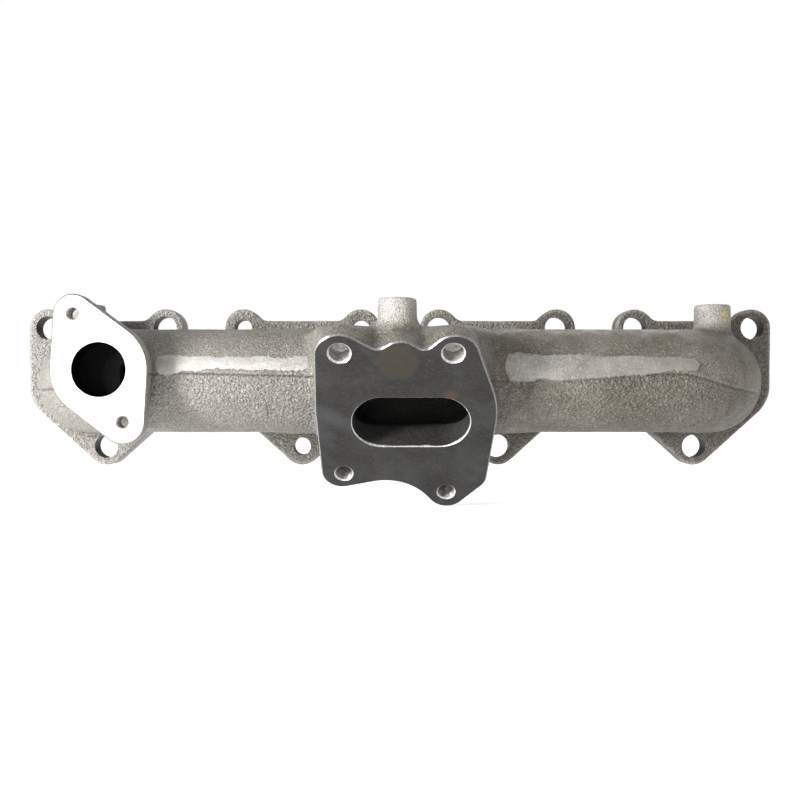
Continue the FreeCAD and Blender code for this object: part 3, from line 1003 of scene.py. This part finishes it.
def ground_band():
    """Ground strip: paler than the skin round it, matte, with the grain half cut away; paler towards the
    left end and darker towards the right as painted light.
    """
    s = Shader("ground_band", Metallic=0.3)
    cross = s.noise(1.0, 4, 0.7, s.mapped(s.place, (1.1, 0.12, 0.12), (0, math.radians(12), 0)))
    grit = s.noise(1.5, 3, 0.7)
    speck = s.noise(0.6, 2, 0.6)
    cloud = s.noise(13, 4, 0.6)
    colour = s.mix(s.span(cloud, 0.35, 0.7), (0.235, 0.220, 0.198), (0.385, 0.370, 0.345))
    colour = s.tint(colour, grit, 0.47, 0.66, 0.60, (0.50, 0.485, 0.455))
    colour = s.tint(colour, speck, 0.50, 0.66, 0.60, (0.110, 0.098, 0.080))
    colour = s.tint(colour, cross, 0.5, 0.8, 0.3, (0.56, 0.545, 0.52))
    # painted light: the band pales towards the left end and darkens towards the right end
    colour = s.mix(s.span(s.axis("X"), -60, 60, 0.35, 0.0), colour, (0.60, 0.585, 0.56))
    colour = s.mix(s.span(s.axis("X"), 70, 190, 0.0, 0.70), colour, (0.200, 0.186, 0.158))
    roughness = s.span(grit, 0.3, 0.7, 0.42, 0.62)
    normal = s.bump(cross, 0.10, 0.7)
    return s.finish(colour, roughness, s.bump(grit, 0.38, 1.0, normal))


# ---------------- pieces

BAND_LIFT = 19.0    # degrees above the horizontal, round the gallery
BAND_PROUD = 0.4 * MM
BANDS = {
    "left": {"reach": (-0.1455, -0.0535), "low": (-5.6, -4.6), "high": (4.8, 4.2), "notch": (0.32, 2.6)},
    "right": {"reach": (0.0625, 0.178), "low": (-11.0, -4.6), "high": (6.0, 3.0), "notch": (0.24, -3.4)},
}


def parting_band(side, material):
    """Ground strip with ragged edges, sunk into the front of the gallery."""
    band = BANDS[side]
    rng = np.random.default_rng(7 if side == "left" else 11)
    x = np.linspace(*band["reach"], 180)
    share = np.linspace(0, 1, len(x))
    step_at, step = band["notch"]
    stepped = step / (1 + np.exp(-(share - step_at) / 0.012)) * (1 - share)
    edges = []
    for ends, shift in ((band["low"], stepped), (band["high"], 0 * share)):
        slow = np.convolve(rng.normal(0, 1, len(x) + 20), np.ones(21) / 21, "valid") * 2.6
        fast = np.convolve(rng.normal(0, 1, len(x) + 2), np.ones(3) / 3, "valid") * 0.35
        edges.append(ends[0] + (ends[1] - ends[0]) * share + shift + slow + fast)
    middle = (edges[0] + edges[1]) / 2
    taper = np.minimum(1, np.minimum(share, 1 - share) / 0.022) ** 0.6
    edges = [(middle + (edge - middle) * (0.25 + 0.75 * taper)) * MM for edge in edges]
    rim = [(a, b) for a, b in zip(x, edges[0])] + [(a, b) for a, b in zip(x[::-1], edges[1][::-1])]
    turn = Matrix.Translation((0, LOG_Y, LOG_Z)) @ Matrix.Rotation(math.radians(-BAND_LIFT), 4, "X")
    layers = [(LOG_R - 3 * MM, 0.0), (LOG_R + BAND_PROUD * 0.6, 0.0), (LOG_R + BAND_PROUD, 0.4 * MM)]
    vertices = []
    for radius, inset in layers:
        for i, (a, b) in enumerate(rim):
            pull = -inset if i < len(x) else inset
            vertices.append(turn @ Vector((a, -radius, b - pull)))
    count = len(rim)
    faces = [tuple(range(count))[::-1], tuple(range(2 * count, 3 * count))]
    for row in range(2):
        for i in range(count):
            j = (i + 1) % count
            a, b = row * count, (row + 1) * count
            faces.append((a + i, a + j, b + j, b + i))
    mesh = bpy.data.meshes.new("parting_band_" + side)
    mesh.from_pydata(vertices, [], faces)
    mesh.validate()
    piece = new_object("skin_parting_band_" + side, mesh, [material])
    mark_sharp(mesh)
    return piece


TURBO_REACH = 80 * MM
EGR_SPAN = (-240 * MM, -130 * MM)
MARGIN = 0.8 * MM    # regions reach past a rough cast surface by this much
AROUND = 20 * MM    # regions reach this far outside the CAD box
PLATE_REACH = 64 * MM    # half the width of the region of one head flange
RUNNER_REACH = 45 * MM
BOSS_REACH = 18 * MM
CENTRE_BOSS_BACK = 14 * MM


def region_tools(cast):
    """Boxes that part the skin into pieces, with their nodes, in the order of cutting."""
    low = [c - AROUND for c in CAD_BOX[0]]
    high = [c + AROUND for c in CAD_BOX[1]]
    front = LOG_Y - LOG_R - MARGIN
    rows = []

    def region(node, x_low, x_high, y_low, y_high, foot=low[2]):
        rows.append((node, block((x_low, y_low, foot), (x_high, y_high, high[2]), cast)))

    for n in PORTS:
        x = PORT_X[n]
        region("head_flange_%d" % n, x - PLATE_REACH, x + PLATE_REACH, -FLANGE_THICK - MARGIN, high[1])
    reach = TURBO_REACH
    plate = block((-reach, -reach, -TURBO_THICK - MARGIN), (reach, reach, STOCK), cast, turbo_place())
    rows.append(("turbo_flange", plate))
    x, y = CENTRE_BOSS.x, CENTRE_BOSS.y
    foot = LOG_Z + 35 * MM
    region("boss_centre", x - BOSS_REACH, x + BOSS_REACH, y - BOSS_REACH, y + CENTRE_BOSS_BACK, foot)
    region("turbo_neck", -reach, reach, low[1], front)
    region("egr_flange", *EGR_SPAN, low[1], EGR_FACE_Y + EGR_THICK + MARGIN)
    region("egr_neck", *EGR_SPAN, low[1], front)
    for side, name in ((-1, "left"), (1, "right")):
        x = side * ELBOW_X
        foot = LOG_Z + LOG_R + 4 * MM
        region("boss_" + name, x - BOSS_REACH, x + BOSS_REACH, BOSS_TOP.y - BOSS_REACH, -FLANGE_THICK, foot)
        ends = sorted((side * BEND_X, side * (high[0] + 0.01)))
        region("end_elbow_" + name, *ends, low[1], high[1])
    for n in (2, 3):
        x = PORT_X[n]
        region("port_runner_%d" % n, x - RUNNER_REACH, x + RUNNER_REACH, LOG_Y + LOG_R + 0.2 * MM, high[1])
    for side, name in ((-1, "left"), (1, "right")):
        ends = sorted((side * JOINT_X, side * (BEND_X + MM)))
        region("gallery_" + name, *ends, low[1], high[1])
    return rows


def lug_drill(radius, mats):
    """All head bolt holes of one radius, with their edges broken on the head face."""
    nick = 0.4 * MM
    profile = [(radius + 2 * nick, nick, 1), (radius, -nick, 0), (radius, -FLANGE_THICK - 3 * MM, 0)]
    points = []
    for n in PORTS:
        if LUG_HOLE_R[n] == radius:
            x = PORT_X[n]
            points += [(x - LUG_HALF_SPAN, 0, 0), (x + LUG_HALF_SPAN, 0, 0), (x, 0, -LUG_DROP)]
    places = [facing(Vector(point), Vector((0, 1, 0))) for point in points]
    return lathe_tool(profile, places, [mats["lug"], mats["edge"]])


def drill_profile(radius, depth, bevel, tip=0.15):
    """Chamfered blind hole that narrows to a share of its radius at the bottom."""
    return [
        (radius + 2 * bevel, bevel, 1),
        (radius, -bevel, 0),
        (radius, -depth, 0),
        (radius * tip, -depth - radius * (1 - tip) * 0.6, 0),
    ]


def turbine_drills(mats):
    """Holes of the turbine flange: plain above, tapped below."""
    materials = [mats["bore"], mats["edge"]]
    place = turbo_place()
    top = [place @ Matrix.Translation((x * MM, y * MM, 0)) for x, y in TURBO_TOP_HOLES_MM]
    low = [place @ Matrix.Translation((x * MM, y * MM, 0)) for x, y in TURBO_LOW_HOLES_MM]
    shallow = drill_profile(6.0 * MM, 11 * MM, 1.0 * MM, 0.9)
    plain = lathe_tool(shallow, top, [mats["shallow"], mats["edge"]])
    tapped = lathe_tool(drill_profile(5.2 * MM, 17 * MM, 0.7 * MM), low, materials, 1.75 * MM, 0.4 * MM)
    return [plain, tapped]


def egr_drill(mats):
    """Two tapped holes of the gas recirculation flange."""
    y = EGR_FACE_Y
    points = [Vector((EGR_CENTRE.x + x * MM, y, EGR_CENTRE.z + z * MM)) for x, z in EGR_HOLES_MM]
    places = [facing(point, Vector((0, -1, 0))) for point in points]
    profile = drill_profile(3.5 * MM, EGR_THICK + 2 * MM, 0.7 * MM)
    return lathe_tool(profile, places, [mats["shallow"], mats["edge"]], 1.25 * MM, 0.25 * MM)


def boss_drill(mats):
    """Tapped holes in the tops of the bosses."""
    profile = drill_profile(3.5 * MM, 12 * MM, 0.9 * MM)
    places = [Matrix.Translation(top) for top in boss_tops()]
    return lathe_tool(profile, places, [mats["bore"], mats["edge"]], 1.25 * MM, 0.3 * MM)


def drill_skin(skin, mats):
    """Drill and tap every hole, and break the edge of the turbine outlet."""
    drills = [lug_drill(radius, mats) for radius in sorted(set(LUG_HOLE_R.values()))] + turbine_drills(mats)
    drills += [egr_drill(mats), boss_drill(mats), oblong_tool(mats["edge"], 0.6 * MM)]
    for drill in drills:
        combine(skin, drill, "DIFFERENCE")
        discard(drill)


def part_skin(skin, cast, mats, field, passages):
    """Split the machined skin into closed pieces that meet at flat cuts, and break two rims."""
    crowding = field.crowding(5)
    pieces = []
    for node, tool in region_tools(cast):
        piece = new_object("skin_" + node, skin.data.copy())
        combine(piece, tool, "INTERSECT")
        combine(skin, tool, "DIFFERENCE")
        discard(tool)
        pieces.append((piece, node))
    for piece, node in pieces:
        for bevel in rim_bevels(node, mats):
            combine(piece, bevel, "INTERSECT")
            discard(bevel)
    skin.name = "skin_gallery_centre"
    pieces.append((skin, "gallery_centre"))
    for piece, _ in pieces:
        mark_sharp(piece.data)
        dress(piece, field, crowding, passages)
    return pieces


def build_manifold():
    """Every visible piece, each riding on the frame in place of its node."""
    cast = cast_iron()
    mats = {
        "milled": milled_face(),
        "turbine": turbine_face(),
        "bright": bright_face(),
        # painted shade: the lug walls and the bore walls are darker copies of the shallow holes' wall
        "lug": drilled_wall("lug_wall", 0.06),
        "bore": drilled_wall("drilled_wall", 0.6),
        "shallow": drilled_wall("drilled_floor", 1.0),
        "edge": broken_edge("broken_edge", 1.0),
        "rim": broken_edge("soft_rim", 0.40),
    }
    field, passages = casting_field()
    skin = new_object("skin", field.mesh("skin"), [cast])
    roughen(skin)
    machine_faces(skin, mats)
    drill_skin(skin, mats)
    pieces = part_skin(skin, cast, mats, field, passages)
    ground = ground_band()
    for side in BANDS:
        pieces.append((parting_band(side, ground), "parting_band_" + side))
    for piece, node in pieces:
        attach(piece, "root")
        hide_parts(node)


# ---------------- setting

CAMERA_DISTANCE = 0.700    # from the head face to the lens
CAMERA_DROP = 11.6 * MM    # the lens is this far below the gallery's axis
CAMERA_LENS = 46.47


def add_camera():
    data = bpy.data.cameras.new("camera")
    data.lens = CAMERA_LENS
    data.sensor_width = 36.0
    camera = bpy.data.objects.new("camera", data)
    camera.location = (0.0, -CAMERA_DISTANCE, LOG_Z - CAMERA_DROP)
    camera.rotation_euler = (math.radians(90), 0, 0)
    bpy.context.scene.collection.objects.link(camera)
    bpy.context.scene.camera = camera


def add_floor():
    """Plain pale floor that the bottom of the turbine flange just touches."""
    half = 12.0    # its far edge shows a little below the horizon
    z = CAD_BOX[0][2]
    mesh = bpy.data.meshes.new("floor")
    corners = [(-half, -half, z), (half, -half, z), (half, half, z), (-half, half, z)]
    mesh.from_pydata(corners, [], [(0, 1, 2, 3)])
    s = Shader("floor", Specular_IOR_Level=0.2)
    cloud = s.noise(900, 2, 0.5)
    colour = s.mix(cloud, (0.86, 0.86, 0.86), (0.90, 0.90, 0.90))
    s.surface.inputs["Emission Color"].default_value = (1, 1, 1, 1)
    s.surface.inputs["Emission Strength"].default_value = 0.64
    floor = new_object("floor", mesh, [s.finish(colour, s.span(cloud, 0.2, 0.8, 0.6, 0.7))])


def add_light(name, place, size, power, target=(0, -0.05, -0.04)):
    data = bpy.data.lights.new(name, "AREA")
    data.shape = "DISK"
    data.size = size
    data.energy = power
    light = bpy.data.objects.new(name, data)
    light.location = place
    light.rotation_euler = (Vector(target) - Vector(place)).to_track_quat("-Z", "Y").to_euler()
    bpy.context.scene.collection.objects.link(light)


def add_world():
    """Even white surroundings, twice as bright to the eye as they are as light."""
    world = bpy.data.worlds.new("studio")
    bpy.context.scene.world = world
    world.use_nodes = True
    nodes, links = world.node_tree.nodes, world.node_tree.links
    background = nodes["Background"]
    background.inputs["Color"].default_value = (1, 1, 1, 1)
    seen = nodes.new("ShaderNodeLightPath").outputs["Is Camera Ray"]
    strength = nodes.new("ShaderNodeMapRange")
    strength.inputs["To Min"].default_value = 0.50
    strength.inputs["To Max"].default_value = 1.0
    links.new(seen, strength.inputs["Value"])
    links.new(strength.outputs["Result"], background.inputs["Strength"])


def add_setting():
    add_camera()
    add_floor()
    add_world()
    add_light("key", (-1.10, -0.90, 0.16), 0.40, 34)
    add_light("front", (-0.25, -1.40, 0.0), 0.25, 2.5)
    add_light("back", (0.5, 1.1, 0.9), 0.9, 6)
    bpy.context.scene.view_settings.view_transform = "Standard"


build_manifold()
add_setting()
